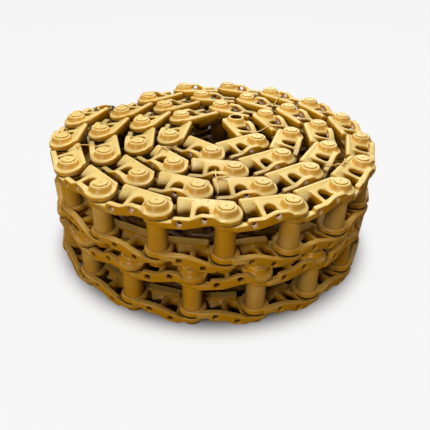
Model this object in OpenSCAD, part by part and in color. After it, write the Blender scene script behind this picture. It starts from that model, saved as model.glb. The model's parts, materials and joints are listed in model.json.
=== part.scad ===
// Two excavator track chains, each rolled up with its pins upright, one coil on top of the other.
// A link runs along x from its bushing at the origin to its pin at x = pitch. Its rail is at +y, which is
// the inside of the coil, its shoe face is at -y, and z = 0 is the middle of the chain.

/* [Chain] */
// Distance between the bushing and the pin of one link
pitch = 175; // [165:1:190]
// Links in each chain
link_count = 42; // [38:1:46]
// Free width between the two links of a pair, where the sprocket teeth run
inside_w = 82; // [70:1:100]

/* [Coil] */
// Bend of the innermost joints, in degrees
tightest_bend = 75.5; // [65:0.5:78]
// Fold that two links allow beyond the tightest bend, in degrees
fold_reserve = 10; // [6:1:14]
// Room between two turns where they come closest
turn_gap = 4; // [3:0.5:8]
// Turn from the inner end to where the chain first steps outwards, in degrees
first_step = 263; // [200:1:300]
// Turn over which the chain steps out to the next ring, in degrees
step_span = 65; // [55:1:80]
// Room between the hats of one coil and the links of the other
stack_gap = 0.3; // [0.3:0.1:1]

/* [Pin and bushing] */
// Diameter of the pin
pin_d = 38; // [34:0.5:42]
// Radial play of the pin in its bushing
pin_play = 0.1; // [0.05:0.01:0.1]
// Wall of the bushing
bush_wall = 9; // [7:0.5:11]
// How far the bushing stands out of its links, into the counterbore
bush_proud = 3; // [2:0.5:4]
// Edge chamfer of the pin and of its hole
pin_chamfer = 2; // [0.5:0.25:2.5]
// Radial gap drawn at the press fits
press_gap = 0.02; // [0.01:0.01:0.03]
// Diameter of the centre mark in each end of the pin
centre_d = 6; // [3:0.5:8]
// Depth of the centre mark
centre_depth = 3; // [1:0.5:5]

/* [Seal] */
// Depth of the counterbore that holds the seal
counterbore_depth = 7; // [6:0.5:9]
// Radial room round the bushing in the counterbore
counterbore_room = 1.5; // [0.5:0.25:2.5]
// Running gap of the seal on the end of the bushing and on the pin
seal_gap = 0.3; // [0.2:0.05:0.5]
// Depth of the groove in the back of the seal
seal_groove = 2; // [1:0.25:2.5]

/* [Link ends] */
// Thickness of the link at the bushing
ply_t = 18; // [14:0.5:22]
// Side play between the links at a joint
side_gap = 1; // [0.6:0.1:2]
// Thickness of the flange at the pin
flange_t = 15; // [12:0.5:18]
// Height of the hat on the flange
hat_h = 23; // [18:0.5:28]
// How far the hat stands above the rail
hat_proud = 12; // [9:0.5:15]
// Wall of the hat at its top
hat_wall = 6.5; // [5:0.5:9]
// How much the hat widens down to the flange, in radius
hat_taper = 7; // [4:0.5:10]
// Fillet at the root of the hat
hat_fillet = 5; // [2:0.5:6]
// Rounding of the hat and flange edges
end_edge = 3; // [1:0.5:4]
// Wall round the bushing
end_wall = 13.5; // [12:0.5:18]
// Radius of the rail corner past the joint
corner_r = 22; // [16:1:26]
// Room round a link end for the next link to swing
swing_gap = 6; // [2:0.5:8]

/* [Link body] */
// How far the rail lies beyond the round ends
rail_stand = 6.5; // [3:0.5:10]
// How far the shoe face lies beyond the round ends
shoe_stand = 0.5; // [0.3:0.1:2]
// Width of the flat on the side of the rail
rail_w = 13; // [9:0.5:18]
// Extra width of the rail at its inner face, which slopes
rail_slope = 14; // [8:0.5:18]
// Wall between the shoe face and the nut windows
band_w = 18; // [14:0.5:22]
// Height of the shoe face at the bushing half
band_h = 30; // [26:0.5:34]
// Thinnest width of the strut between the two nut windows
strut_w = 13; // [10:0.5:18]
// How far the strut widens towards the bushing where it joins the rail
strut_lean = 5; // [0:0.5:8]
// How far the web round the strut lies below the rail
web_drop = 3; // [2:0.5:6]
// Half the width of the nut window on the pin side, along the chain
window_r = 15.5; // [14:0.5:16]
// Length of that window from the shoe band to the middle of its round end
window_l = 27; // [22:1:30]
// Room for half a nut, from the middle of the bolt hole towards the pin
nut_room = 12; // [11:0.5:13]
// Diameter of the shoe bolt holes
hole_d = 16.5; // [14:0.5:20]
// Distance between the two bolt holes of a link, along the chain
hole_pitch = 62; // [56:1:66]
// Distance of the middle of the bolt holes from the middle of the link, towards the pin
hole_shift = 6.5; // [3:0.5:9]
// Length over which the shoe band climbs from the bushing half to the pin half
band_climb = 30; // [24:1:36]
// Length of the slanted nose of the shoe band at the pin
nose_l = 14; // [10:1:18]
// Chamfer of the rail and shoe band edges
body_edge = 4; // [2:0.5:5]

/* [Hidden] */
$fn = 48;
// Links of each chain that can be swung off the coil
free_links = 5;
// Overlap that keeps cutters from sharing a face with what they cut
cut = 1;
paint = "goldenrod";
seal_black = "dimgray";

pin_r = pin_d / 2;
bush_in_r = pin_r + pin_play;
bush_r = bush_in_r + bush_wall;
end_r = bush_r + end_wall;
shoe_y = end_r + shoe_stand;
rail_y = end_r + rail_stand;
counterbore_r = bush_r + counterbore_room;
hat_top_r = pin_r + hat_wall;
hat_root_r = hat_top_r + hat_taper;

// Heights above the middle of the chain, from the inside out
z_in = inside_w / 2;
z_ply = z_in + ply_t;
z_flange = z_ply + side_gap;
z_hat = z_flange + flange_t;
z_top = z_hat + hat_h;
z_body = z_top - hat_proud;
z_seal = z_flange + counterbore_depth;
bush_half = z_ply + bush_proud;

// Plan of a link
corner_x = 2;
corner_y = rail_y - corner_r - shoe_stand;
corner_reach = norm([corner_x, corner_y]) + corner_r;
relief_r = max(rail_y, end_r, corner_reach) + swing_gap;
rail_start = rail_y * tan((tightest_bend + fold_reserve) / 2);
rail_end = pitch - rail_start;
end_reach = max(end_r, corner_x + corner_r) + end_edge;
rail_in_y = rail_y - rail_w;
lift_x = pitch - relief_r;
hole_mid = pitch / 2 + hole_shift;
hole_x = [hole_mid - hole_pitch / 2, hole_mid + hole_pitch / 2];
climb_x = hole_mid - strut_w / 2;
window_at = [hole_mid + strut_w / 2 + window_r, -shoe_y + band_w + window_l];
nose_x = pitch - hat_top_r;
z_band = z_in + band_h;
hole_z = [(z_in + z_band) / 2, (z_flange + z_body) / 2];

// The coil: rings of constant radius, with a smooth step out from each to the next
eye_r = pitch / 2 / sin(tightest_bend / 2);
second_r = eye_r + rail_y + shoe_y + turn_gap;
turn_pitch = rail_y + shoe_y + turn_gap + second_r - sqrt(second_r * second_r - pitch * pitch / 4);

function ease(f) = f >= 1 ? 1 : f * f * (3 - 2 * f);
function ring(t) = floor((t - first_step) / 360);
function path_r(t) = t <= first_step ? eye_r
    : eye_r + turn_pitch * (ring(t) + ease((t - first_step - 360 * ring(t)) / step_span));
function path_point(t) = path_r(t) * [cos(t), -sin(t)];
// The turn beyond t at which the path is a given length away from the point at t, by halving lo to hi
function turn_after(t, length, lo, hi, tries = 40) = let(mid = (lo + hi) / 2)
    tries == 0 ? mid
    : norm(path_point(mid) - path_point(t)) < length ? turn_after(t, length, mid, hi, tries - 1)
    : turn_after(t, length, lo, mid, tries - 1);
function next_turn(t, length) = turn_after(t, length, t, t + 120);
function march(t, n) = n == 0 ? [t] : concat([t], march(next_turn(t, pitch), n - 1));
function spin(p, a) = [p.x * cos(a) - p.y * sin(a), p.x * sin(a) + p.y * cos(a)];
function heading(from, to) = atan2(to.y - from.y, to.x - from.x);

// Joint centres in chain order: number 0 is the free bushing at the outer end, and each pin follows in turn.
// The lower coil lies half a pitch further out along the same path, so that its hats miss the upper ones.
function joints(start) = let(turns = march(start, link_count))
    [for (i = [link_count : -1 : 0]) path_point(turns[i])];
raw_upper = joints(0);
raw_lower = joints(next_turn(0, pitch / 2));
// The coils are turned so that the first link of the upper coil past its free ones lies along x, at the front
front_turn = -heading(raw_upper[free_links], raw_upper[free_links + 1]);
turned = [for (chain = [raw_lower, raw_upper]) [for (p = chain) spin(p, front_turn)]];
// The box round both coils is centred: its sides touch round ends and shoe face corners
function shoe_corners(a, b) = let(out = spin([0, -shoe_y], heading(a, b))) [a + out, b + out];
rim = concat(
    [for (chain = turned, p = chain, d = [[1, 0], [-1, 0], [0, 1], [0, -1]]) p + end_r * d],
    [for (chain = turned, i = [1 : link_count], p = shoe_corners(chain[i - 1], chain[i])) p]);
middle = [for (k = [0, 1]) (max([for (p = rim) p[k]]) + min([for (p = rim) p[k]])) / 2];
centres = [for (chain = turned) [for (p = chain) p - middle]];
// Height of the middle of each chain above the floor
mid_z = [z_top, 3 * z_top - hat_proud + stack_gap];

COILS = ["lower", "upper"];
PIECES = ["left_link", "right_link", "bushing", "pin", "seals"];
GROUPS = ["left_links", "right_links", "bushings", "pins", "seals"];

// Extrudes an outline drawn in x and z from y0 to y1
module along_y(y0, y1) {
    translate([0, y1, 0]) rotate([90, 0, 0]) linear_extrude(y1 - y0) children();
}

// Extrudes an outline drawn in y and z from x0 to x1
module along_x(x0, x1) {
    translate([x0, 0, 0]) rotate([90, 0, 90]) linear_extrude(x1 - x0) children();
}

// Outline of a link seen from its side: a straight body with two round ends and rounded rail corners
module link_plan() {
    translate([0, -shoe_y]) square([pitch, shoe_y + rail_y]);
    circle(end_r);
    translate([-corner_x, corner_y]) circle(corner_r);
    translate([pitch, 0]) circle(end_r);
    translate([pitch + corner_x, corner_y]) circle(corner_r);
}

// The rail that the rollers run on: inner half at the bushing, outer half at the pin, full between them
module rail_bar() {
    intersection() {
        translate([0, 0, z_in]) linear_extrude(z_body - z_in) link_plan();
        along_y(0, rail_y + cut) polygon([
            [-end_reach, z_in], [rail_end - body_edge, z_in], [rail_end, z_in + body_edge], [rail_end, z_flange],
            [pitch + end_reach, z_flange], [pitch + end_reach, z_body], [rail_start + body_edge, z_body],
            [rail_start, z_body - body_edge], [rail_start, z_ply], [-end_reach, z_ply]]);
        along_x(-end_reach, pitch + end_reach) polygon([
            [rail_y + cut, z_in - cut], [rail_y, z_in + body_edge], [rail_y, z_body - body_edge],
            [rail_y - body_edge, z_body], [rail_in_y, z_body], [rail_in_y - rail_slope, z_in - cut]]);
    }
}

// The S-shaped band that the shoe is bolted to, low at the bushing half and high at the pin half
module shoe_band() {
    along_y(-shoe_y, -shoe_y + band_w) polygon([
        [0, z_in], [hole_x[0], z_in], [lift_x, z_flange], [pitch, z_flange], [pitch, z_hat],
        [nose_x + nose_l, z_hat], [nose_x, z_body], [climb_x + band_climb, z_body], [climb_x, z_band],
        [rail_start + body_edge, z_band], [rail_start, z_band - body_edge], [rail_start, z_ply], [0, z_ply]]);
}

// The nut window on the pin side, in plan: round towards the rail, and as wide as the nut at the shoe band
module pin_window() {
    translate(window_at) circle(window_r);
    polygon([
        [window_at.x - window_r, window_at.y], [window_at.x - window_r, -shoe_y + band_w - cut],
        [hole_x[1] + nut_room, -shoe_y + band_w - cut], [window_at.x + window_r, window_at.y]]);
}

// The web that slopes from the rail down to the shoe band, between the two nut windows and round the hat
module web() {
    intersection() {
        along_x(0, pitch + end_reach) polygon([
            [rail_in_y + cut, z_in - cut], [rail_in_y + cut, z_body - web_drop],
            [-shoe_y + band_w - cut, z_band], [-shoe_y + band_w - cut, z_in - cut]]);
        along_y(-shoe_y, rail_y) polygon([
            [hole_x[0], z_in], [lift_x, z_flange], [pitch + end_reach, z_flange],
            [pitch + end_reach, z_body], [hole_x[0], z_body]]);
        translate([0, 0, z_in]) linear_extrude(z_body - z_in) difference() {
            intersection() {
                link_plan();
                polygon([
                    [hole_mid - strut_w / 2, -shoe_y], [hole_mid - strut_w / 2 - strut_lean, rail_y],
                    [pitch + end_reach, rail_y], [pitch + end_reach, -shoe_y]]);
            }
            pin_window();
        }
    }
}

// Rail, band and web, cut back where the ends of the next links swing
module link_body() {
    difference() {
        union() {
            rail_bar();
            shoe_band();
            web();
        }
        translate([0, 0, z_ply]) cylinder(h = z_body, r = relief_r);
        translate([pitch, 0, 0]) cylinder(h = z_flange, r = relief_r);
    }
}

// Round end that holds the bushing
module bush_end() {
    rotate_extrude() polygon([
        [0, z_in], [end_r - 2 * end_edge, z_in], [end_r - end_edge / 2, z_in + end_edge],
        [end_r, z_in + 2 * end_edge], [end_r, z_ply], [0, z_ply]]);
}

// Round flange and tapered hat that hold the pin
module pin_end() {
    translate([pitch, 0, 0]) rotate_extrude() polygon([
        [0, z_flange], [end_r, z_flange], [end_r, z_hat - end_edge],
        [end_r - end_edge, z_hat], [hat_root_r + hat_fillet, z_hat], [hat_root_r, z_hat + hat_fillet],
        [hat_top_r, z_top - end_edge], [hat_top_r - end_edge / 2, z_top], [0, z_top]]);
}

// One forged link, the upper one of a pair
module link() {
    difference() {
        union() {
            link_body();
            bush_end();
            pin_end();
        }
        translate([0, 0, z_in - cut]) cylinder(h = z_top, r = bush_r + press_gap);
        translate([pitch, 0, 0]) {
            cylinder(h = z_top + cut, r = pin_r + press_gap);
            cylinder(h = z_seal, r = counterbore_r);
            translate([0, 0, z_top - pin_chamfer])
                cylinder(h = pin_chamfer + cut, r1 = pin_r, r2 = pin_r + pin_chamfer + cut);
        }
        for (i = [0, 1]) translate([hole_x[i], -shoe_y - cut, hole_z[i]])
            rotate([-90, 0, 0]) cylinder(h = band_w + 2 * cut, d = hole_d);
    }
}

// Puts a link's own frame at the joint centres that it runs between
module at_link(coil, i) {
    from = centres[coil][i - 1];
    translate([from.x, from.y, mid_z[coil]]) rotate(heading(from, centres[coil][i])) children();
}

module left_link(coil, i) {
    color(paint) at_link(coil, i) mirror([0, 0, 1]) link();
}

module right_link(coil, i) {
    color(paint) at_link(coil, i) link();
}

// Steel tube pressed into the pair of links, which turns on the pin of the next pair
module bushing(coil, i) {
    color(paint) at_link(coil, i) rotate_extrude() polygon([
        [bush_in_r + pin_chamfer, -bush_half], [bush_r - pin_chamfer, -bush_half],
        [bush_r, -bush_half + pin_chamfer], [bush_r, bush_half - pin_chamfer],
        [bush_r - pin_chamfer, bush_half], [bush_in_r + pin_chamfer, bush_half],
        [bush_in_r, bush_half - pin_chamfer], [bush_in_r, -bush_half + pin_chamfer]]);
}

// Solid pin pressed into the hats of the pair, with a centre mark in each end
module pin(coil, i) {
    color(paint) at_link(coil, i) translate([pitch, 0, 0]) rotate_extrude() polygon([
        [0, -z_top + centre_depth], [centre_d / 2, -z_top], [pin_r - pin_chamfer, -z_top],
        [pin_r, -z_top + pin_chamfer], [pin_r, z_top - pin_chamfer], [pin_r - pin_chamfer, z_top],
        [centre_d / 2, z_top], [0, z_top - centre_depth]]);
}

// Dust seals in the two counterbores, each running on one end of the bushing
module seals(coil, i) {
    inner = pin_r + seal_gap;
    outer = counterbore_r - press_gap;
    low = bush_half + seal_gap;
    wall = (outer - inner) / 4;
    color(seal_black) at_link(coil, i) translate([pitch, 0, 0]) for (side = [0, 1]) mirror([0, 0, side])
        rotate_extrude() polygon([
            [inner, low], [outer, low], [outer, z_seal], [outer - wall, z_seal],
            [(inner + outer) / 2, z_seal - seal_groove], [inner + wall, z_seal], [inner, z_seal]]);
}

// The pieces of one link, by their place in PIECES
module piece(kind, coil, i) {
    if (kind == 0) left_link(coil, i);
    if (kind == 1) right_link(coil, i);
    if (kind == 2) bushing(coil, i);
    if (kind == 3 && i < link_count) pin(coil, i);
    if (kind == 4 && i < link_count) seals(coil, i);
}

for (coil = [0, 1], kind = [0 : 4]) {
    group = str(COILS[coil], "_coil_", GROUPS[kind]);
    for (i = [free_links + 1 : link_count]) piece(kind, coil, i);
    for (i = [1 : free_links]) {
        name = str(COILS[coil], "_tail_", i, "_", PIECES[kind]);
        piece(kind, coil, i);
    }
}
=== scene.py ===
"""Looks of two rolled-up excavator track chains, one coil on the other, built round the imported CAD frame.

The forged link, the bushing and the pin are finished once each and copied to every joint of both chains. The dust seals
keep their CAD solids. Tie wires and the studio are added.
"""

from __future__ import annotations

import json
import logging
import math
import random
from collections.abc import Callable
from dataclasses import dataclass, field
from enum import Enum

import bpy
from mathutils import Matrix, Quaternion, Vector

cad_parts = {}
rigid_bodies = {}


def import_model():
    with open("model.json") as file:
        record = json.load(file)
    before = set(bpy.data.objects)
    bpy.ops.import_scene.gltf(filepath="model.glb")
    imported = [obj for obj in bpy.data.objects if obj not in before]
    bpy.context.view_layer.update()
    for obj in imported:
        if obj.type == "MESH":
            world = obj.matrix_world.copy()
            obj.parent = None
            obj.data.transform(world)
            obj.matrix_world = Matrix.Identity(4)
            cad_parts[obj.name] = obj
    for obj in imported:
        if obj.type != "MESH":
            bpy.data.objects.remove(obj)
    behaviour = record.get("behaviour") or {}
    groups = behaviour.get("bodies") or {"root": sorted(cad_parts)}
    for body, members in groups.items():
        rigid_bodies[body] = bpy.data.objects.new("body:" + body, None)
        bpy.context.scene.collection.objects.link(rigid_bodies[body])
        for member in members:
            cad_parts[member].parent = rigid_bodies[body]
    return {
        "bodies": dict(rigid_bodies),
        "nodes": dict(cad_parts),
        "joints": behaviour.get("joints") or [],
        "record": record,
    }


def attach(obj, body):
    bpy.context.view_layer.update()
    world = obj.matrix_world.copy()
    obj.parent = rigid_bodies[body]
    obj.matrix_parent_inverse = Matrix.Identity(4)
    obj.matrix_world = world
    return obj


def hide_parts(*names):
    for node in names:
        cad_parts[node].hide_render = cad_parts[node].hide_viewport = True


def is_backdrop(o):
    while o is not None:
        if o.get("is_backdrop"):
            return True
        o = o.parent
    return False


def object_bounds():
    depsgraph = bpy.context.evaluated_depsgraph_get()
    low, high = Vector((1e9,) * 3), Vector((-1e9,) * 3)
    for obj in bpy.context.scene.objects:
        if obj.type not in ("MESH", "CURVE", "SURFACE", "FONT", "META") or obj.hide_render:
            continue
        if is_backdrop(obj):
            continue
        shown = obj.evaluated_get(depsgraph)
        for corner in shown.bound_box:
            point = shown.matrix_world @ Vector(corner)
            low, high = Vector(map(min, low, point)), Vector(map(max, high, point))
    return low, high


LOG = logging.getLogger("track_chain")
MM = 0.001
PHOTO_SIDE = 430
FREE_LINKS = 5
SEED = 42
Span = tuple[float, float]


class Side(Enum):
    """The two links of a pair; the left one lies under the middle of the chain, the right one over it."""

    LEFT = "left"
    RIGHT = "right"


class Slot(Enum):
    """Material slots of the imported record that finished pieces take."""

    LINK = "link_paint"
    BUSHING = "bushing_paint"
    PIN = "pin_paint"


def metres(*millimetres: float) -> tuple[float, ...]:
    """Gives lengths in metres."""
    return tuple(length * MM for length in millimetres)


def linear(hex_colour: str) -> tuple[float, float, float, float]:
    """Turns an sRGB hex colour into linear values.

    Args:
        hex_colour: Six hex digits, with or without a leading hash.

    Returns:
        Linear red, green, blue and an alpha of one.
    """
    digits = hex_colour.lstrip("#")
    channels = [int(digits[i : i + 2], 16) / 255 for i in (0, 2, 4)]
    red, green, blue = [c / 12.92 if c <= 0.04045 else ((c + 0.055) / 1.055) ** 2.4 for c in channels]
    return (red, green, blue, 1.0)


def add_node(tree: bpy.types.NodeTree, kind: str, settings: dict | None = None, **inputs: object) -> bpy.types.Node:
    """Adds a node with its settings and links.

    Args:
        tree: Node tree to add to.
        kind: Blender's name of the node type.
        settings: Values of the node's own properties.
        **inputs: Socket names, with underscores for spaces, or "i" and a socket's number. A socket is linked, and
            any other value is set.

    Returns:
        The new node.
    """
    node = tree.nodes.new(kind)
    for name, value in (settings or {}).items():
        setattr(node, name, value)
    for name, value in inputs.items():
        key = int(name[1:]) if name[0] == "i" and name[1:].isdigit() else name.replace("_", " ")
        socket = node.inputs[key]
        if isinstance(value, bpy.types.NodeSocket):
            tree.links.new(value, socket)
        else:
            socket.default_value = value
    return node


def new_material(name: str) -> tuple[bpy.types.Material, bpy.types.NodeTree]:
    """Makes an empty node material.

    Args:
        name: The real material's name.

    Returns:
        The material and its node tree, with no nodes in it.
    """
    material = bpy.data.materials.new(name)
    material.use_nodes = True
    material.node_tree.nodes.clear()
    return material, material.node_tree


def pattern_scale(size_mm: float) -> float:
    """Gives the texture scale at which one cell of a pattern is a real size in millimetres."""
    return 1 / (size_mm * MM)


def mask_of(
    tree: bpy.types.NodeTree, value: bpy.types.NodeSocket, low: float, high: float, most: float = 1.0
) -> bpy.types.NodeSocket:
    """Turns a value into a mask, smoothly.

    Args:
        tree: Node tree to add to.
        value: The value to read.
        low: Value at which the mask is zero.
        high: Value at which the mask is at its most.
        most: The most that the mask gives.

    Returns:
        The mask.
    """
    node = add_node(
        tree,
        "ShaderNodeMapRange",
        {"interpolation_type": "SMOOTHSTEP"},
        Value=value,
        From_Min=low,
        From_Max=high,
        To_Max=most,
    )
    return node.outputs["Result"]


def both(tree: bpy.types.NodeTree, one: bpy.types.NodeSocket, other: object) -> bpy.types.NodeSocket:
    """Multiplies a mask by another mask or by a number."""
    return add_node(tree, "ShaderNodeMath", {"operation": "MULTIPLY"}, i0=one, i1=other).outputs[0]


def blend(tree: bpy.types.NodeTree, share: bpy.types.NodeSocket, under: object, over: object) -> bpy.types.NodeSocket:
    """Mixes two colours by the share of the second."""
    return add_node(tree, "ShaderNodeMix", {"data_type": "RGBA"}, i0=share, i6=under, i7=over).outputs[2]


@dataclass(frozen=True)
class SprayedEnamel:
    """Ochre enamel sprayed over forged steel in one coat.

    It is semi-gloss with a fine orange peel. Upper faces are paler with painted top light and sheen, edges are
    pale with wear and a painted highlight, hollows are darker, partly dirty and partly painted shade, and seams,
    joint gaps, the lower bolt holes and the inside of the coil are dark with painted shade.
    """

    name: str = "ochre_enamel_on_forged_steel"
    coat: str = "#CC8E08"
    shade_coat: str = "#8E5C06"
    # painted top light and sheen: the pale coat that faces looking up are mixed towards
    top_light_and_sheen_coat: str = "#DEC378"
    # pale edges: partly wear, partly a painted highlight along convex edges
    worn_and_highlit_edge_coat: str = "#EBCF86"
    # brown of dirty hollows and of painted shade in corners and creases, also the colour of the specks
    dirt_and_crease_shade: str = "#5E3607"
    # painted shade in joint gaps, in the groove round each pin end and in the lower bolt holes
    gap_shade: str = "#2A1504"
    # painted shade deep inside the coil
    coil_shade_colour: str = "#2C1505"
    # pale bare steel in the bolt holes, kept only in the top links, where it stands as painted light
    lit_bare_steel: str = "#E3C9BE"
    shade_share: float = 0.2
    worn_and_highlit_edge_share: float = 0.6
    crease_dirt_and_shade_share: float = 0.6
    speck_share: float = 0.8
    coil_shade_share: float = 0.9
    gap_shade_share: float = 0.9
    roughness: float = 0.32
    dirty_roughness: float = 0.6
    refraction: float = 1.5
    shine: float = 0.26
    peel_mm: float = 3.0
    speck_mm: float = 15.0
    forging_mm: float = 16.0
    cloud_mm: float = 120.0
    hatch_mm: float = 60.0
    # Where a mask starts and where it is full: how far a face looks up, how sharp a corner is, or a pattern's value
    # mask of the painted top light on faces that look up
    top_lit_faces: Span = (0.2, 0.9)
    hollows: Span = (0.49, 0.40)
    hollow_patches: Span = (0.3, 0.6)
    edges: Span = (0.515, 0.57)
    edge_patches: Span = (0.35, 0.7)
    specks: Span = (0.2, 0.1)
    speck_patches: Span = (0.5, 0.62)
    # Strength of a relief and its depth in millimetres
    forging_relief: Span = (0.35, 1.2)
    peel_relief: Span = (0.2, 0.25)
    hatch_relief: Span = (1.0, 0.7)

    def material(self) -> bpy.types.Material:
        """Builds the paint, which reads these attributes of a piece.

        "tone" is a link's own tone, "up" how far a face looks up, which sets its painted top light and sheen,
        "inside" painted shade deep in the rolled-up chain, "seam" painted shade in grooves, joint gaps and the
        lower bolt holes, "bare" pale bare steel, kept as painted light in the top links' bolt holes only, and
        "turned" where the paint shows tool marks.

        Returns:
            The material.
        """
        made, tree = new_material(self.name)
        place = add_node(tree, "ShaderNodeTexCoord").outputs["Object"]
        clouds, forging, peel = (
            add_node(
                tree, "ShaderNodeTexNoise", Vector=place, Scale=pattern_scale(size), Detail=detail, Roughness=0.55
            ).outputs["Fac"]
            for size, detail in ((self.cloud_mm, 4.0), (self.forging_mm, 5.0), (self.peel_mm, 2.0))
        )
        tone, up, inside, seam, bare, turned = (
            add_node(tree, "ShaderNodeAttribute", {"attribute_name": name}).outputs["Fac"]
            for name in ("tone", "up", "inside", "seam", "bare", "turned")
        )
        pointed = add_node(tree, "ShaderNodeNewGeometry").outputs["Pointiness"]
        cells = add_node(tree, "ShaderNodeTexVoronoi", Vector=place, Scale=pattern_scale(self.speck_mm))
        sky = mask_of(tree, up, *self.top_lit_faces)
        hollow = both(tree, mask_of(tree, pointed, *self.hollows), mask_of(tree, forging, *self.hollow_patches))
        edge = both(tree, mask_of(tree, pointed, *self.edges), mask_of(tree, clouds, *self.edge_patches))
        dots = mask_of(tree, cells.outputs["Distance"], *self.specks)
        specks = both(tree, both(tree, dots, mask_of(tree, clouds, *self.speck_patches)), sky)
        colour: object = linear(self.coat)
        for mask, over, most in (
            # painted top light and sheen on faces that look up
            (sky, self.top_light_and_sheen_coat, 1.0),
            (tone, self.shade_coat, self.shade_share),
            # edges: wear and a painted highlight, in patches
            (edge, self.worn_and_highlit_edge_coat, self.worn_and_highlit_edge_share),
            # hollows: darker, partly dirty and partly painted shade in corners and creases
            (hollow, self.dirt_and_crease_shade, self.crease_dirt_and_shade_share),
            (specks, self.dirt_and_crease_shade, self.speck_share),
            # inside: painted shade deep in the coil
            (inside, self.coil_shade_colour, self.coil_shade_share),
            # seam: painted shade in gaps, grooves and the lower bolt holes
            (seam, self.gap_shade, self.gap_shade_share),
            # bare: pale bare steel as painted light, only in the top links' bolt holes
            (bare, self.lit_bare_steel, 1.0),
        ):
            colour = blend(tree, both(tree, mask, most), colour, linear(over))
        roughness = add_node(
            tree, "ShaderNodeMapRange", Value=hollow, To_Min=self.roughness, To_Max=self.dirty_roughness
        ).outputs["Result"]
        hatch = add_node(
            tree,
            "ShaderNodeTexWave",
            {"wave_type": "BANDS", "bands_direction": "DIAGONAL"},
            Vector=place,
            Scale=pattern_scale(self.hatch_mm),
            Distortion=1.0,
            Detail=1.0,
        ).outputs["Fac"]
        normal = None
        for height, (strength, depth_mm) in (
            (forging, self.forging_relief),
            (peel, self.peel_relief),
            (both(tree, hatch, turned), self.hatch_relief),
        ):
            bump = add_node(tree, "ShaderNodeBump", Strength=strength, Distance=depth_mm * MM, Height=height)
            if normal:
                tree.links.new(normal, bump.inputs["Normal"])
            normal = bump.outputs["Normal"]
        shader = add_node(
            tree,
            "ShaderNodeBsdfPrincipled",
            Base_Color=colour,
            Roughness=roughness,
            Metallic=0.0,
            IOR=self.refraction,
            Specular_IOR_Level=self.shine,
            Normal=normal,
        )
        add_node(tree, "ShaderNodeOutputMaterial", Surface=shader.outputs["BSDF"])
        return made


@dataclass(frozen=True)
class SealRubber:
    """Black nitrile rubber, moulded: dull, with a dusty grey bloom."""

    name: str = "black_nitrile_rubber"
    black: str = "#1C1A18"
    bloom: str = "#3A342C"
    bloom_mm: float = 9.0
    roughness: float = 0.7
    refraction: float = 1.52
    relief: Span = (0.3, 0.3)

    def material(self) -> bpy.types.Material:
        """Builds the rubber.

        Returns:
            The material.
        """
        made, tree = new_material(self.name)
        place = add_node(tree, "ShaderNodeTexCoord").outputs["Object"]
        cloud = add_node(
            tree, "ShaderNodeTexNoise", Vector=place, Scale=pattern_scale(self.bloom_mm), Detail=3.0
        ).outputs["Fac"]
        strength, depth_mm = self.relief
        bump = add_node(tree, "ShaderNodeBump", Strength=strength, Distance=depth_mm * MM, Height=cloud)
        shader = add_node(
            tree,
            "ShaderNodeBsdfPrincipled",
            Base_Color=blend(tree, cloud, linear(self.black), linear(self.bloom)),
            Roughness=self.roughness,
            IOR=self.refraction,
            Normal=bump.outputs["Normal"],
        )
        add_node(tree, "ShaderNodeOutputMaterial", Surface=shader.outputs["BSDF"])
        return made


def deselect_all() -> None:
    """Leaves nothing selected and no object in edit mode."""
    if bpy.context.object and bpy.context.object.mode != "OBJECT":
        bpy.ops.object.mode_set(mode="OBJECT")
    bpy.ops.object.select_all(action="DESELECT")


def take(piece: bpy.types.Object) -> bpy.types.Object:
    """Makes a piece the only selected and active object.

    Args:
        piece: The piece.

    Returns:
        The same piece.
    """
    deselect_all()
    piece.select_set(True)
    bpy.context.view_layer.objects.active = piece
    return piece


def new_piece(name: str, mesh: bpy.types.Mesh) -> bpy.types.Object:
    """Links a new object of a mesh into the scene and takes it.

    Args:
        name: Name of the object.
        mesh: Its mesh.

    Returns:
        The object, taken.
    """
    piece = bpy.data.objects.new(name, mesh)
    bpy.context.scene.collection.objects.link(piece)
    return take(piece)


def merged_copy(node: bpy.types.Object, name: str) -> bpy.types.Object:
    """Copies a CAD node's mesh into a new object and merges its loose triangles.

    Args:
        node: The CAD node.
        name: Name of the copy.

    Returns:
        The copy, taken.
    """
    piece = new_piece(name, node.data.copy())
    piece.data.materials.clear()
    bpy.ops.object.mode_set(mode="EDIT")
    bpy.ops.mesh.select_all(action="SELECT")
    bpy.ops.mesh.remove_doubles(threshold=0.005 * MM)
    bpy.ops.object.mode_set(mode="OBJECT")
    return piece


def finish_with(piece: bpy.types.Object, kind: str, **settings: object) -> None:
    """Adds a modifier to a taken piece and applies it.

    Args:
        piece: The piece.
        kind: Blender's name of the modifier type.
        **settings: Values of the modifier's properties.
    """
    take(piece)
    modifier = piece.modifiers.new(kind.lower(), kind)
    for name, value in settings.items():
        setattr(modifier, name, value)
    bpy.ops.object.modifier_apply(modifier=modifier.name)


def join(pieces: list[bpy.types.Object], name: str) -> bpy.types.Object:
    """Joins pieces into one of a given name.

    Args:
        pieces: The pieces, each with its place in its mesh.
        name: Name of the joined piece.

    Returns:
        The joined piece.
    """
    take(pieces[0])
    for piece in pieces:
        piece.select_set(True)
    if len(pieces) > 1:
        bpy.ops.object.join()
    pieces[0].name = name
    pieces[0].data.name = name
    return pieces[0]


def set_attribute(mesh: bpy.types.Mesh, name: str, values: list[float]) -> None:
    """Writes one number per vertex to a mesh attribute."""
    attribute = mesh.attributes.get(name) or mesh.attributes.new(name, "FLOAT", "POINT")
    attribute.data.foreach_set("value", values)


def mark_upper_faces(mesh: bpy.types.Mesh) -> None:
    """Writes how far each point of a mesh looks up to the attribute "up"."""
    set_attribute(mesh, "up", [v.normal.z for v in mesh.vertices])


def ramp(value: float, low: float, high: float) -> float:
    """Maps low to zero and high to one, and keeps to that range."""
    return min(max((value - low) / (high - low), 0.0), 1.0)


def smooth(share: float) -> float:
    """Eases a share from zero to one in and out."""
    return share * share * (3 - 2 * share)


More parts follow.
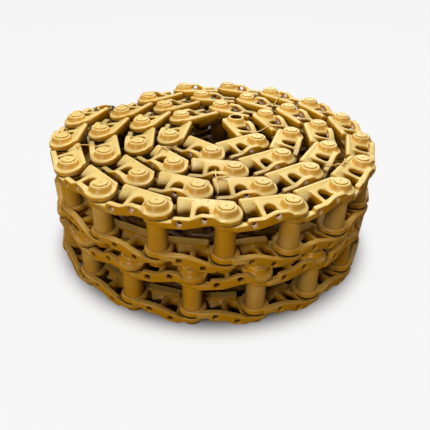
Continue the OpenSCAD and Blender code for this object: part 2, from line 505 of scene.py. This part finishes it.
def solid_centres(node: bpy.types.Object) -> list[Vector]:
    """Finds the middle of each separate solid of a CAD node.

    Args:
        node: The CAD node.

    Returns:
        One point for each solid, in no special order.
    """
    copy = merged_copy(node, "solids")
    bpy.ops.object.mode_set(mode="EDIT")
    bpy.ops.mesh.separate(type="LOOSE")
    bpy.ops.object.mode_set(mode="OBJECT")
    solids = list(bpy.context.selected_objects)
    centres = []
    for solid in solids:
        corners = [Vector(c) for c in solid.bound_box]
        centres.append(sum(corners, Vector()) / len(corners))
        bpy.data.objects.remove(solid)
    return centres


@dataclass
class ChainJoints:
    """Joint centres of one chain, from the free outer bushing to the open inner bore."""

    coil: str
    frame: dict
    centres: list[Vector] = field(default_factory=list)

    def __post_init__(self) -> None:
        """Reads the free links' joints from the record and walks the rest of the chain bushing by bushing."""
        mounts = {m["name"]: Vector(m["pos_m"]) for m in self.frame["record"]["mounts"]}
        hinges = {j["name"]: Vector(j["pos_m"]) for j in self.frame["joints"] if "pos_m" in j}
        self.centres = [mounts[f"{self.coil}_outer_bush_bore"]]
        self.centres += [hinges[f"{self.coil}_tail_{i}_hinge"] for i in range(1, FREE_LINKS + 1)]
        pitch = (self.centres[1] - self.centres[0]).length
        left = solid_centres(self.frame["nodes"][f"{self.coil}_coil_bushings"])
        left.remove(min(left, key=lambda p: (p - self.centres[-1]).length))
        while left:
            following = min(left, key=lambda p: abs((p - self.centres[-1]).length - pitch))
            left.remove(following)
            self.centres.append(following)
        self.centres.append(mounts[f"{self.coil}_inner_pin_bore"])
        height = self.centres[0].z
        for centre in self.centres:
            centre.z = height

    @property
    def pitch(self) -> float:
        """Distance from bushing to pin."""
        return (self.centres[1] - self.centres[0]).length

    @property
    def links(self) -> int:
        """Number of links in the chain."""
        return len(self.centres) - 1

    def at_link(self, number: int) -> Matrix:
        """Gives the place of a link's own frame: bushing at its origin, pin along its X.

        Args:
            number: Number of the link, from one at the outer end.

        Returns:
            The place as a matrix.
        """
        start, end = self.centres[number - 1], self.centres[number]
        heading = math.atan2(end.y - start.y, end.x - start.x)
        return Matrix.Translation(start) @ Matrix.Rotation(heading, 4, "Z")


@dataclass
class ForgedLink:
    """One forged link, softened from its CAD solid the way a drop forging's edges are.

    Places are in the link's own frame: bushing at its origin, pin along X, shoe face towards -Y and hat up.
    """

    frame: dict
    joints: ChainJoints
    model_link: int = 2
    faces: int = 5200
    # Sizes of the CAD link
    shoe_y: float = -42.1 * MM
    band_w: float = 18.0 * MM
    band_low: float = 71.0 * MM
    band_high: float = 86.0 * MM
    climb: Span = metres(87.5, 117.5)
    band_under: float = 41.0 * MM
    lift: Span = metres(63, 118)
    rail_top: float = 86.0 * MM
    hole_r: float = 8.25 * MM
    hole_places: tuple[Span, ...] = (metres(63, 56), metres(125, 73))
    flange_r: float = 41.6 * MM
    flange_z: Span = metres(60, 72)
    hat_r: float = 25.5 * MM
    hat_root_r: float = 36.0 * MM
    hat_root: float = 76.0 * MM
    hat_top: float = 98.0 * MM
    bush_r: float = 28.2 * MM
    bush_end_top: float = 59.0 * MM
    groove_r: float = 21.5 * MM
    groove_depth: float = 2.0 * MM
    # Softening of the forging, of its shoe band and of its web
    voxel: float = 1.2 * MM
    soft_passes: int = 14
    hat_weight: float = 0.2
    hat_crisp: float = 5.0 * MM
    band_passes: int = 46
    band_along: Span = metres(43, 152)
    band_margin: float = 3.0 * MM
    band_round: float = 11.0 * MM
    web_passes: int = 70
    web_from: Span = metres(36, 50)
    web_to: Span = metres(150, 136)
    web_margin: Span = metres(8, 4)
    web_rail: Span = metres(42, 34)
    web_hat: Span = metres(36, 44)
    web_height: Span = metres(42, 54)
    # Deeper shoe band
    deep_lift: Span = metres(75, 138)
    deep_least: float = 1.0 * MM
    deep_across: Span = metres(2.6, 0.4)
    deep_height: Span = metres(4.6, 1.2)
    # Leaning wall behind the bushing's window
    wall_lean: float = 25.0 * MM
    wall_from: Span = metres(40, 54)
    wall_to: Span = metres(98, 86)
    wall_taper: Span = metres(46, 84)
    taper_share: float = 0.55
    wall_foot: float = 65.0 * MM
    wall_under: Span = metres(48, 61)
    wall_across: Span = metres(-22, 20)
    wall_rail: Span = metres(40, 35)
    # Hat and joint gaps
    hat_swell: float = 3.0 * MM
    pin_stand: float = 3.0 * MM
    sink_margin: Span = metres(3, 8)
    joint_gap: float = 1.3 * MM
    pin_margin: float = 4.0 * MM
    pin_gap: Span = metres(29, 36)
    pin_gap_height: Span = metres(6, 1)
    bush_margin: float = 2.0 * MM
    bush_gap: Span = metres(29, 34)
    bush_gap_height: Span = metres(50, 58)
    bush_end_slim: float = 5.0 * MM
    slim_along: Span = metres(26, 12)
    slim_across: Span = metres(12, 0)
    # Marks for the paint, which include painted shade in the pin's groove and the joint gaps
    hole_margin: float = 0.6 * MM
    hole_depth: Span = (0.35, 0.98)
    turned_margin: float = 2.5 * MM
    turned_back: float = 20.0 * MM
    groove_shade: Span = (0.2, 0.9)
    seam_r: float = 28.0 * MM
    seam_half: float = 1.2 * MM

    def model(self) -> dict[Side, bpy.types.Mesh]:
        """Models the right link and its mirror image, the left link.

        Returns:
            The two meshes, in the link's own frame.
        """
        name = f"{self.joints.coil}_tail_{self.model_link}_right_link"
        piece = merged_copy(self.frame["nodes"][name], "forged_link")
        piece.data.transform(self.joints.at_link(self.model_link).inverted())
        finish_with(piece, "REMESH", mode="VOXEL", voxel_size=self.voxel, adaptivity=0.0)
        self._soften(piece, "forged", self._forged, self.soft_passes)
        self._soften(piece, "band", self._on_band, self.band_passes)
        self._soften(piece, "web", self._on_web, self.web_passes)
        for vertex in piece.data.vertices:
            vertex.co = self._open_joint(self._shape_hat(self._shape_body(vertex.co)))
        triangles = 2 * len(piece.data.polygons)
        finish_with(piece, "DECIMATE", ratio=self.faces / triangles, use_collapse_triangulate=True)
        take(piece)
        bpy.ops.object.shade_smooth()
        self._mark(piece.data)
        right = piece.data
        left = right.copy()
        left.transform(Matrix.Scale(-1, 4, Vector((0, 0, 1))))
        left.flip_normals()
        bpy.data.objects.remove(piece)
        for mesh in (right, left):
            mark_upper_faces(mesh)
        LOG.info("forged link: %d triangles", len(right.polygons))
        return {Side.RIGHT: right, Side.LEFT: left}

    def band_top(self, along: float) -> float:
        """Gives the height of the shoe band at a distance along the link."""
        return self.band_low + ramp(along, *self.climb) * (self.band_high - self.band_low)

    def lean(self, along: float, height: float) -> float:
        """Gives how far the wall behind the bushing's window leans out, most at its parting line.

        Args:
            along: Distance along the link.
            height: Height over the middle of the chain.

        Returns:
            The lean towards the shoe band.
        """
        share = smooth(ramp(along, *self.wall_from)) * smooth(ramp(along, *self.wall_to))
        share *= 1 - self.taper_share * ramp(along, *self.wall_taper)
        share *= smooth(ramp(height, self.rail_top, self.wall_foot)) * smooth(ramp(height, *self.wall_under))
        return self.wall_lean * share

    @staticmethod
    def _soften(piece: bpy.types.Object, name: str, weigh: Callable[[Vector], float], passes: int) -> None:
        """Smooths a piece, each point as far as its weight says.

        Args:
            piece: The piece.
            name: Name of the group that holds the weights.
            weigh: Gives the weight of a point.
            passes: Number of smoothing passes.
        """
        group = piece.vertex_groups.new(name=name)
        for vertex in piece.data.vertices:
            weight = weigh(vertex.co)
            if weight:
                group.add([vertex.index], weight, "REPLACE")
        finish_with(piece, "SMOOTH", factor=0.5, iterations=passes, vertex_group=name)
        piece.vertex_groups.clear()

    def _shape_body(self, point: Vector) -> Vector:
        """Moves a point of the body: the shoe band gets deeper, and the wall behind the bushing's window leans.

        Args:
            point: The point.

        Returns:
            Its new place.
        """
        x, y, z = point
        rise = self.flange_z[0] - self.band_under
        under = self.band_under + ramp(x, *self.lift) * rise
        wanted = self.band_under + self.deep_least + ramp(x, *self.deep_lift) * (rise - self.deep_least)
        inner = self.shoe_y + self.band_w
        on_band = ramp(y, *(inner + margin for margin in self.deep_across))
        drop = max(under - wanted, 0.0) * on_band * ramp(z, *(under + margin for margin in self.deep_height))
        across = ramp(y, *self.wall_rail) * ramp(y, *self.wall_across)
        return Vector((x, y - across * self.lean(x, z), z - drop))

    def _shape_hat(self, point: Vector) -> Vector:
        """Moves a point of the hat: it gets wider at its top, narrower at its root, and lower round the pin.

        Args:
            point: The point.

        Returns:
            Its new place.
        """
        off = Vector((point.x - self.joints.pitch, point.y))
        if point.z < self.hat_root or off.length > self.hat_root_r:
            return point
        height = (point.z - self.hat_root) / (self.hat_top - self.hat_root)
        sink = self.pin_stand * height * ramp(off.length, *(self.hat_root_r - margin for margin in self.sink_margin))
        if off.length > self.groove_r:
            outer = ramp(off.length, self.groove_r, self.hat_r)
            off *= 1 + outer * (self.hat_swell * height - self.hat_swell / 3) / off.length
        return Vector((off.x + self.joints.pitch, off.y, point.z - sink))

    def _open_joint(self, point: Vector) -> Vector:
        """Moves a point of the faces that meet at a joint, so that a dark gap shows, and slims the bushing end.

        Args:
            point: The point.

        Returns:
            Its new place.
        """
        x, y, z = point
        low = self.flange_z[0]
        at_pin, at_bush = math.hypot(x - self.joints.pitch, y), math.hypot(x, y)
        if at_pin < self.flange_r + self.pin_margin and z > low - 1 * MM:
            near = ramp(z, *(low + margin for margin in self.pin_gap_height))
            z += self.joint_gap * ramp(at_pin, *self.pin_gap) * near
        if at_bush < self.flange_r + self.bush_margin and z < low:
            z -= self.joint_gap * ramp(at_bush, *self.bush_gap) * ramp(z, *self.bush_gap_height)
            share = ramp(at_bush, self.bush_r, self.flange_r) * ramp(x, *self.slim_along) * ramp(y, *self.slim_across)
            slim = 1 - self.bush_end_slim * share / max(at_bush, MM)
            x, y = x * slim, y * slim
        return Vector((x, y, z))

    def _forged(self, point: Vector) -> float:
        """Weighs the forging: the bored top of the hat keeps its edges."""
        reach = math.hypot(point.x - self.joints.pitch, point.y)
        return self.hat_weight if reach < self.hat_r and point.z > self.hat_top - self.hat_crisp else 1.0

    def _on_band(self, point: Vector) -> float:
        """Weighs the top of the shoe band, which is rounder than the rest."""
        start, end = self.band_along
        across = point.y < self.shoe_y + self.band_w + self.band_margin and start < point.x < end
        return 1.0 if across and point.z > self.band_top(point.x) - self.band_round else 0.0

    def _on_web(self, point: Vector) -> float:
        """Weighs the web and the strut between the nut windows, which run into the rail and the band in wide curves.

        Args:
            point: The point.

        Returns:
            Its weight.
        """
        along = ramp(point.x, *self.web_from) * ramp(point.x, *self.web_to)
        outer, inner = self.web_margin
        across = ramp(point.y, self.shoe_y + outer, self.shoe_y + self.band_w + inner) * ramp(point.y, *self.web_rail)
        hat = ramp(math.hypot(point.x - self.joints.pitch, point.y), *self.web_hat)
        return along * across * hat * ramp(point.z, *self.web_height)

    def _mark(self, mesh: bpy.types.Mesh) -> None:
        """Marks the bare bolt holes, the pin flange's turned edge, and painted shade in the pin's groove and joint
        gaps.

        Args:
            mesh: Mesh of the right link.
        """
        bare, turned, seam = [], [], []
        low, high = self.flange_z
        for vertex in mesh.vertices:
            x, y, z = vertex.co
            off = min(math.hypot(x - hx, z - hz) for hx, hz in self.hole_places)
            in_hole = self.hole_depth[0] < (y - self.shoe_y) / self.band_w < self.hole_depth[1]
            bare.append(1.0 if off < self.hole_r + self.hole_margin and in_hole else 0.0)
            reach = math.hypot(x - self.joints.pitch, y)
            at_edge = reach > self.flange_r - self.turned_margin and low <= z <= high
            turned.append(1.0 if at_edge and x > self.joints.pitch - self.turned_back else 0.0)
            # painted shade in the groove round the pin's end and along the joint gaps
            sunk = (self.hat_top - self.pin_stand - z) / self.groove_depth
            groove = ramp(sunk, *self.groove_shade) if reach < self.groove_r else 0.0
            at_gap = abs(z - low - self.joint_gap) < self.seam_half
            under = self.seam_r < reach < self.flange_r - self.bush_end_slim and at_gap
            at_end = abs(z - self.bush_end_top + self.joint_gap) < self.seam_half
            over = math.hypot(x, y) < self.flange_r and at_end
            seam.append(1.0 if under or over else groove)
        set_attribute(mesh, "bare", bare)
        set_attribute(mesh, "turned", turned)
        set_attribute(mesh, "seam", seam)


@dataclass
class TurnedParts:
    """Bushing and pin of one joint, modelled once each."""

    segments: int = 56
    bush_r: float = 28.1 * MM
    bush_bore_r: float = 19.1 * MM
    bush_half: float = 62.0 * MM
    pin_r: float = 19.0 * MM
    pin_half: float = 98.0 * MM
    edge: float = 2.0 * MM
    centre_r: float = 3.0 * MM
    centre_depth: float = 3.0 * MM
    centre_taper: float = 0.2
    bevel_from: float = 40.0
    smooth_to: float = 35.0

    def bushing(self) -> bpy.types.Mesh:
        """Models the ground steel tube.

        Returns:
            The mesh, with its middle at the origin.
        """
        deselect_all()
        bpy.ops.mesh.primitive_cylinder_add(
            vertices=self.segments, radius=self.bush_r, depth=2 * self.bush_half, end_fill_type="NGON"
        )
        piece = bpy.context.object
        self._ends(piece, inset=self.bush_r - self.bush_bore_r)
        bpy.ops.object.mode_set(mode="EDIT")
        bpy.ops.mesh.select_mode(type="FACE")
        self._select_ends(piece, self.bush_bore_r + self.edge, self.bush_half)
        bpy.ops.mesh.bridge_edge_loops()
        bpy.ops.object.mode_set(mode="OBJECT")
        return self._finish(piece)

    def pin(self) -> bpy.types.Mesh:
        """Models the solid pin with a centre mark in each end.

        Returns:
            The mesh, with its middle at the origin.
        """
        deselect_all()
        bpy.ops.mesh.primitive_cylinder_add(
            vertices=self.segments, radius=self.pin_r, depth=2 * self.pin_half, end_fill_type="NGON"
        )
        piece = bpy.context.object
        self._ends(piece, inset=self.pin_r - self.centre_r)
        for sign in (1, -1):
            bpy.ops.object.mode_set(mode="EDIT")
            self._select_ends(piece, self.centre_r + self.edge, self.pin_half, (sign,))
            bpy.ops.mesh.extrude_region_move(TRANSFORM_OT_translate={"value": (0, 0, -sign * self.centre_depth)})
            bpy.ops.transform.resize(value=(self.centre_taper, self.centre_taper, 1.0))
            bpy.ops.object.mode_set(mode="OBJECT")
        mesh = self._finish(piece)
        # painted shade on the pin's shank runs out at its end's rim, as a dark ring in the groove round the pin end
        groove = [abs(v.co.z) < self.pin_half - 0.8 * self.edge for v in mesh.vertices]
        set_attribute(mesh, "seam", [float(g) for g in groove])
        return mesh

    def _ends(self, piece: bpy.types.Object, inset: float) -> None:
        """Insets both end faces of a cylinder.

        Args:
            piece: The cylinder.
            inset: Distance from the rim.
        """
        take(piece)
        bpy.ops.object.mode_set(mode="EDIT")
        bpy.ops.mesh.select_mode(type="FACE")
        self._select_ends(piece, 1.0, max(v.co.z for v in piece.data.vertices))
        bpy.ops.mesh.inset(thickness=inset, use_individual=True)
        bpy.ops.object.mode_set(mode="OBJECT")

    @staticmethod
    def _select_ends(piece: bpy.types.Object, reach: float, height: float, signs: tuple[int, ...] = (1, -1)) -> None:
        """Selects the end faces that lie wholly within a reach of the axis.

        Args:
            piece: The turned piece, in edit mode.
            reach: The reach.
            height: Height of the ends over the middle.
            signs: One for the upper end, minus one for the lower.
        """
        bpy.ops.mesh.select_all(action="DESELECT")
        bpy.ops.object.mode_set(mode="OBJECT")
        for face in piece.data.polygons:
            corners = [piece.data.vertices[i].co for i in face.vertices]
            at_end = any(all(abs(c.z - s * height) < 0.01 * MM for c in corners) for s in signs)
            face.select = at_end and len(corners) > 4 and all(math.hypot(c.x, c.y) < reach for c in corners)
        bpy.ops.object.mode_set(mode="EDIT")

    def _finish(self, piece: bpy.types.Object) -> bpy.types.Mesh:
        """Bevels the sharp edges and shades the rounds smooth.

        Args:
            piece: The turned piece.

        Returns:
            Its mesh.
        """
        limit = math.radians(self.bevel_from)
        finish_with(piece, "BEVEL", width=self.edge, segments=2, limit_method="ANGLE", angle_limit=limit)
        take(piece)
        bpy.ops.object.shade_smooth_by_angle(angle=math.radians(self.smooth_to))
        mesh = piece.data
        bpy.data.objects.remove(piece)
        mark_upper_faces(mesh)
        return mesh


@dataclass
class TrackChain:
    """One rolled-up chain: every link, bushing and pin at its joint, dressed and riding on its body."""

    coil: str
    frame: dict
    joints: ChainJoints
    links: dict[Side, bpy.types.Mesh]
    bushing: bpy.types.Mesh
    pin: bpy.types.Mesh
    enamel: bpy.types.Material
    rubber: bpy.types.Material
    draws: random.Random
    outer_links: int = 17
    # painted shade inside the coil: where it starts and how far it fades in
    coil_shade_top: float = 80.0 * MM
    coil_shade_fade: float = 24.0 * MM
    # share of the painted top light that copies below the top of the stack keep
    lower_top_light: float = 0.5
    # painted shade on the outer turn: across the link, and its most above and below the chain's middle
    coil_shade_across: Span = metres(-24, 8)
    coil_shade_upper_most: float = 0.85
    coil_shade_lower_most: float = 0.5

    def build(self) -> None:
        """Builds and dresses all the pieces of the chain."""
        coil_links = range(FREE_LINKS + 1, self.joints.links + 1)
        tones = [self.draws.random() for _ in range(self.joints.links + 1)]
        for side in Side:
            for number in range(1, FREE_LINKS + 1):
                name = f"{self.coil}_tail_{number}_{side.value}_link"
                self._lay(name, self.links[side], [number], tones, f"{self.coil}_tail_{number}")
            name = f"{self.coil}_coil_{side.value}_links"
            self._lay(name, self.links[side], list(coil_links), tones, f"{self.coil}_coil")
        at_pin = Matrix.Translation((self.joints.pitch, 0, 0))
        for number in range(1, FREE_LINKS + 1):
            body = f"{self.coil}_tail_{number}"
            self._lay(f"{body}_bushing", self.bushing, [number], tones, body)
            self._lay(f"{body}_pin", self.pin, [number], tones, body, at_pin)
        body = f"{self.coil}_coil"
        self._lay(f"{body}_bushings", self.bushing, list(coil_links), tones, body)
        self._lay(f"{body}_pins", self.pin, list(coil_links)[:-1], tones, body, at_pin)
        for name, node in self.frame["nodes"].items():
            if name.startswith(self.coil) and name.endswith("seals"):
                node.data.materials.clear()
                node.data.materials.append(self.rubber)

    def _coil_shade(self, number: int, point: Vector) -> float:
        """Says how much painted shade a point of a link, in the link's own frame, gets deep in the coil.

        Args:
            number: Number of the link.
            point: The point.

        Returns:
            Zero on the outside of the coil and one deep inside it.
        """
        depth = ramp(point.z, self.coil_shade_top, self.coil_shade_top - self.coil_shade_fade)
        if number > self.outer_links:
            return depth
        most = self.coil_shade_upper_most if point.z > 0 else self.coil_shade_lower_most
        return most * depth * ramp(point.y, *self.coil_shade_across)

    def _shade(self, mesh: bpy.types.Mesh, on_top: bool) -> None:
        """Weakens the painted top light on copies below the top of the stack, and puts painted shade in their bolt
        holes in place of the pale bare steel.

        Args:
            mesh: Mesh of one copy.
            on_top: Whether it lies at the top of the stack, where it stays as it is.
        """
        if on_top:
            return
        marks = {name: [0.0] * len(mesh.vertices) for name in ("up", "bare", "seam")}
        for name, values in marks.items():
            if name in mesh.attributes:
                mesh.attributes[name].data.foreach_get("value", values)
        # painted top light is weaker on copies lower in the stack
        set_attribute(mesh, "up", [self.lower_top_light * up for up in marks["up"]])
        # lower copies lose the pale bare steel, and their bolt holes get painted shade instead
        set_attribute(mesh, "bare", [0.0] * len(mesh.vertices))
        set_attribute(mesh, "seam", [max(pair) for pair in zip(marks["bare"], marks["seam"])])

    def _lay(
        self,
        node: str,
        model: bpy.types.Mesh,
        numbers: list[int],
        tones: list[float],
        body: str,
        offset: Matrix | None = None,
    ) -> None:
        """Copies a model to the stated links, as the one piece that stands for a CAD node.

        Args:
            node: The CAD node that the piece replaces.
            model: The mesh to copy, in a link's own frame.
            numbers: The links to copy it to.
            tones: A shade for each link, from zero to one.
            body: The body that the piece rides on.
            offset: Place of the model in the link's own frame, where it isn't the bushing.
        """
        copies = []
        for number in numbers:
            mesh = model.copy()
            if offset:
                mesh.transform(offset)
            set_attribute(mesh, "tone", [tones[number]] * len(mesh.vertices))
            # only the top links and pins keep the painted top light and the pale bare steel
            self._shade(mesh, on_top=self.coil == "upper" and model in (self.links[Side.RIGHT], self.pin))
            # painted shade deep in the coil
            set_attribute(mesh, "inside", [self._coil_shade(number, v.co) for v in mesh.vertices])
            mesh.transform(self.joints.at_link(number))
            copies.append(new_piece(f"{node}_copy", mesh))
        piece = join(copies, f"{node}_finished")
        piece.data.materials.clear()
        piece.data.materials.append(self.enamel)
        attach(piece, body)
        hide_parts(node)
        LOG.info("%s: %d copies, %d faces", piece.name, len(numbers), len(piece.data.polygons))


@dataclass(frozen=True)
class TieWire:
    """Soft iron wire that ties a link to the next turn inside it, through a nut window of each.

    Each end is given by a link's number and a place along it. A loose tie only hooks the inner link, because the outer
    one is free to swing.
    """

    outer: int
    outer_along_mm: float
    inner: int
    inner_along_mm: float
    loose: bool = False


@dataclass
class TieWires:
    """All the tie wires of the upper coil, painted over with the chain."""

    joints: ChainJoints
    link: ForgedLink
    enamel: bpy.types.Material
    radius: float = 1.6 * MM
    clearance: float = 0.6 * MM
    window_floor: float = 37.0 * MM
    twist_turns: float = 2.5
    turn_steps: int = 8
    twist_length: float = 17.0 * MM
    twist_across: float = 38.0 * MM
    twist_tilt: float = -6.0
    twist_lift: float = 2.4
    end_length: float = 12.0 * MM
    # The bent end of a strand, as shares of its length: along, to its side and up
    cut_end: tuple[tuple[float, float, float], ...] = ((0.5, 0.25, 0.0), (1.0, 0.7, 0.1))
    ties: tuple[TieWire, ...] = (
        TieWire(3, 70, 19, 111, loose=True),
        TieWire(22, 55, 33, 124),
        TieWire(9, 112, 24, 70),
        TieWire(32, 75, 40, 54),
        TieWire(36, 66, 42, 78),
        TieWire(13, 108, 27, 76),
    )

    def build(self) -> None:
        """Bends all the wires and joins them into one piece that rides on the upper coil."""
        wires = []
        for tie in self.ties:
            wires.append(self._bend(self._route(tie), closed=not tie.loose))
            wires += [self._bend(strand, closed=False) for strand in self._twist(tie)]
        piece = join(wires, "tie_wires")
        piece.data.materials.clear()
        piece.data.materials.append(self.enamel)
        mark_upper_faces(piece.data)
        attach(piece, f"{self.joints.coil}_coil")
        LOG.info("tie wires: %d faces", len(piece.data.polygons))

    def _route(self, tie: TieWire) -> list[Vector]:
        """Gives the points of a wire: over the outer rail and the inner band, down a window and back underneath.

        Args:
            tie: The tie.

        Returns:
            The points that the wire's middle passes.
        """
        band = self.link.band_top(tie.inner_along_mm * MM)
        rail = self.link.rail_top
        clear = self.radius + self.clearance
        # Place across a link in millimetres, and height: first over its shoe band, then up its wall and over its rail
        inner = [
            (-37, band + clear),
            (-28, band + clear),
            (-20, band - 6 * MM),
            (-19, 55 * MM),
            (-18, self.window_floor),
        ]
        outer = [
            (17, self.window_floor),
            (18, 55 * MM),
            (20, 66 * MM),
            (29, rail - 6 * MM),
            (34, rail + clear),
            (45, rail + clear),
        ]
        start = self.joints.at_link(tie.inner)
        points = [start @ Vector((tie.inner_along_mm * MM, y * MM, z)) for y, z in inner]
        start = self.joints.at_link(tie.outer)
        if tie.loose:
            outer = outer[-2:]
            points.reverse()
            outer.reverse()
        along = tie.outer_along_mm * MM
        return points + [start @ Vector((along, y * MM - self.link.lean(along, z), z)) for y, z in outer]

    def _twist(self, tie: TieWire) -> list[list[Vector]]:
        """Gives the two strands of the twist that ends a tie, on the outer rail, with their cut ends splayed.

        Args:
            tie: The tie.

        Returns:
            The points of each strand.
        """
        height = self.link.rail_top + self.twist_lift * self.radius
        spot = Matrix.Translation((tie.outer_along_mm * MM, self.twist_across, height))
        place = self.joints.at_link(tie.outer) @ spot @ Matrix.Rotation(math.radians(self.twist_tilt), 4, "Y")
        steps = round(self.twist_turns * self.turn_steps)
        strands = []
        for side in (1, -1):
            strand = []
            for step in range(steps + 1):
                angle = 2 * math.pi * self.twist_turns * step / steps
                reach = side * self.radius
                along = self.twist_length * step / steps
                strand.append(Vector((along, reach * math.cos(angle), reach * math.sin(angle))))
            last = strand[-1]
            for out, splay, rise in self.cut_end:
                strand.append(last + self.end_length * Vector((out, side * splay, rise)))
            strands.append([place @ point for point in strand])
        return strands

    def _bend(self, points: list[Vector], closed: bool) -> bpy.types.Object:
        """Bends one round wire along points, as a mesh.

        Args:
            points: The points that the wire's middle passes.
            closed: Whether the last point runs on to the first.

        Returns:
            The wire.
        """
        curve = bpy.data.curves.new("wire", "CURVE")
        curve.dimensions = "3D"
        curve.bevel_depth = self.radius
        curve.bevel_resolution = 2
        curve.resolution_u = 5
        curve.use_fill_caps = True
        spline = curve.splines.new("BEZIER")
        spline.bezier_points.add(len(points) - 1)
        for knot, point in zip(spline.bezier_points, points):
            knot.co = point
            knot.handle_left_type = knot.handle_right_type = "AUTO"
        spline.use_cyclic_u = closed
        wire = bpy.data.objects.new("wire", curve)
        bpy.context.scene.collection.objects.link(wire)
        take(wire)
        bpy.ops.object.convert(target="MESH")
        take(bpy.context.object)
        bpy.ops.object.shade_smooth()
        return bpy.context.object


@dataclass(frozen=True)
class Softbox:
    """One square lamp, with its place, the point that it looks at, its side in metres and its power in watts."""

    name: str
    place: tuple[float, float, float]
    target: tuple[float, float, float]
    side: float
    power: float

    def hang(self) -> None:
        """Hangs the lamp in the scene."""
        data = bpy.data.lights.new(self.name, "AREA")
        data.shape = "SQUARE"
        data.size = self.side
        data.energy = self.power
        lamp = bpy.data.objects.new(self.name, data)
        bpy.context.scene.collection.objects.link(lamp)
        lamp.location = self.place
        lamp.rotation_euler = (Vector(self.target) - Vector(self.place)).to_track_quat("-Z", "Y").to_euler()


@dataclass
class Studio:
    """Camera at the photograph's angle, soft light from above, a pale floor and a white backdrop."""

    azimuth: float = -5.74
    elevation: float = 32.13
    roll: float = 1.88
    focal_px: float = 518.7
    place: tuple[float, float, float] = (0.1684, -1.5534, 1.0348)
    sensor: float = 36.0
    floor_half: float = 6.0
    backdrop: str = "#F7F7F7"
    floor_colour: str = "#F2F1EF"
    # the floor's colour for light that bounces off it, and a painted shadow where the camera sees the floor near the
    # coil
    floor_bounce_and_shadow: str = "#6E5A42"
    shadow_reach: Span = (0.46, 0.58)
    backdrop_share: float = 0.97
    world_light: float = 0.05
    lamps: tuple[Softbox, ...] = (
        Softbox("overhead_softbox", (-0.2, 0.2, 3.0), (0, 0, 0.3), 1.4, 79.0),
        Softbox("back_softbox", (0.4, 3.0, 2.1), (0, 0, 0.3), 2.4, 40.0),
        Softbox("front_fill", (-0.9, -3.2, 1.7), (0, 0, 0.2), 1.2, 52.0),
        Softbox("left_fill", (-3.2, 0.4, 1.6), (0, 0, 0.2), 1.6, 22.0),
        Softbox("right_fill", (3.2, 0.4, 1.6), (0, 0, 0.2), 1.6, 22.0),
    )

    def camera(self) -> None:
        """Sets the camera up."""
        data = bpy.data.cameras.new("photo_camera")
        data.sensor_width = self.sensor
        data.lens = self.sensor * self.focal_px / PHOTO_SIDE
        camera = bpy.data.objects.new("photo_camera", data)
        bpy.context.scene.collection.objects.link(camera)
        turn, tilt = math.radians(self.azimuth), math.radians(self.elevation)
        look = Vector((math.sin(turn) * math.cos(tilt), math.cos(turn) * math.cos(tilt), -math.sin(tilt)))
        camera.location = self.place
        camera.rotation_mode = "QUATERNION"
        camera.rotation_quaternion = look.to_track_quat("-Z", "Y") @ Quaternion((0, 0, 1), math.radians(self.roll))
        bpy.context.scene.camera = camera

    def lights(self) -> None:
        """Hangs the lamps and sets the world's light, which shows as the white backdrop."""
        for lamp in self.lamps:
            lamp.hang()
        world = bpy.data.worlds.new("studio")
        bpy.context.scene.world = world
        world.use_nodes = True
        tree = world.node_tree
        tree.nodes.clear()
        soft = add_node(tree, "ShaderNodeBackground", Color=(1, 1, 1, 1), Strength=self.world_light)
        shown = add_node(tree, "ShaderNodeBackground", Color=linear(self.backdrop), Strength=1.0)
        mixed = add_node(tree, "ShaderNodeMixShader", i0=self._seen(tree), i1=soft.outputs[0], i2=shown.outputs[0])
        add_node(tree, "ShaderNodeOutputWorld", Surface=mixed.outputs[0])

    @staticmethod
    def _seen(tree: bpy.types.NodeTree) -> bpy.types.NodeSocket:
        """Gives one for what the camera sees, straight or through something clear, and zero for other rays."""
        path = add_node(tree, "ShaderNodeLightPath").outputs
        rays = {"i0": path["Is Camera Ray"], "i1": path["Is Transmission Ray"]}
        return add_node(tree, "ShaderNodeMath", {"operation": "MAXIMUM"}, **rays).outputs[0]

    def floor(self, level: float) -> None:
        """Lays the floor that the lower coil stands on, which shows its shadow and runs into the backdrop.

        Near the coil the camera sees it in a dark colour, a painted shadow over its real one.

        Args:
            level: Height of the floor.
        """
        deselect_all()
        bpy.ops.mesh.primitive_plane_add(size=2 * self.floor_half, location=(0, 0, level))
        floor = bpy.context.object
        floor.name = "floor"
        material, tree = new_material("pale_paper_sheet")
        place = add_node(tree, "ShaderNodeTexCoord").outputs["Object"]
        reach = add_node(tree, "ShaderNodeVectorMath", {"operation": "LENGTH"}, i0=place).outputs["Value"]
        away = mask_of(tree, reach, *self.shadow_reach, most=self.backdrop_share)
        share = both(tree, self._seen(tree), away)
        # near the coil the camera sees the dark bounce colour: a painted shadow over the real one
        tint = blend(tree, share, linear(self.floor_bounce_and_shadow), linear(self.floor_colour))
        paper = add_node(tree, "ShaderNodeBsdfDiffuse", Color=tint)
        glow = add_node(tree, "ShaderNodeEmission", Color=linear(self.backdrop), Strength=1.0)
        mixed = add_node(tree, "ShaderNodeMixShader", i0=share, i1=paper.outputs[0], i2=glow.outputs[0])
        add_node(tree, "ShaderNodeOutputMaterial", Surface=mixed.outputs[0])
        floor.data.materials.append(material)
        floor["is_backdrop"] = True


def main() -> None:
    """Builds the scene."""
    logging.basicConfig(level=logging.INFO, format="%(name)s: %(message)s")
    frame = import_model()
    cad_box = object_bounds()
    bpy.context.scene.view_settings.view_transform = "Standard"
    studio = Studio()
    studio.camera()
    studio.lights()
    studio.floor(cad_box[0].z)
    enamel = SprayedEnamel().material()
    rubber = SealRubber().material()
    turned = TurnedParts()
    bushing, pin = turned.bushing(), turned.pin()
    draws = random.Random(SEED)
    upper = ChainJoints("upper", frame)
    lower = ChainJoints("lower", frame)
    link = ForgedLink(frame, upper)
    links = link.model()
    for joints in (lower, upper):
        TrackChain(joints.coil, frame, joints, links, bushing, pin, enamel, rubber, draws).build()
    TieWires(upper, link, enamel).build()


if __name__ == "__main__":
    main()
